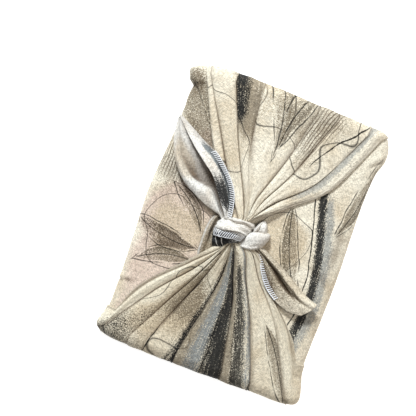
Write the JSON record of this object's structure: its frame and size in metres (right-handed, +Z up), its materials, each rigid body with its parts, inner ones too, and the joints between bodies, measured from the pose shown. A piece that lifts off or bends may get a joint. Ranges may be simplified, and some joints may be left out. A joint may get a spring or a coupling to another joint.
{
  "type": "knotted furoshiki cloth wrap",
  "caption": "Square linen cloth folded and knotted round a flat rectangular bundle, gathered over its short ends, with free ends at the knot.",
  "frame": {"origin": "middle of the bounding box on the surface that the bundle lies on", "axes": "+Y along the bundle's long side towards the end that the wider leaf-shaped free end points to, +X across it, +Z up"},
  "size_m": [0.228, 0.3098, 0.0517],
  "materials": {
    "printed_linen": "matt woven linen with a printed brush pattern and white overlocked hems"
  },
  "bodies": {
    "root": {"furoshiki_cloth": "printed_linen"}
  },
  "joints": []
}
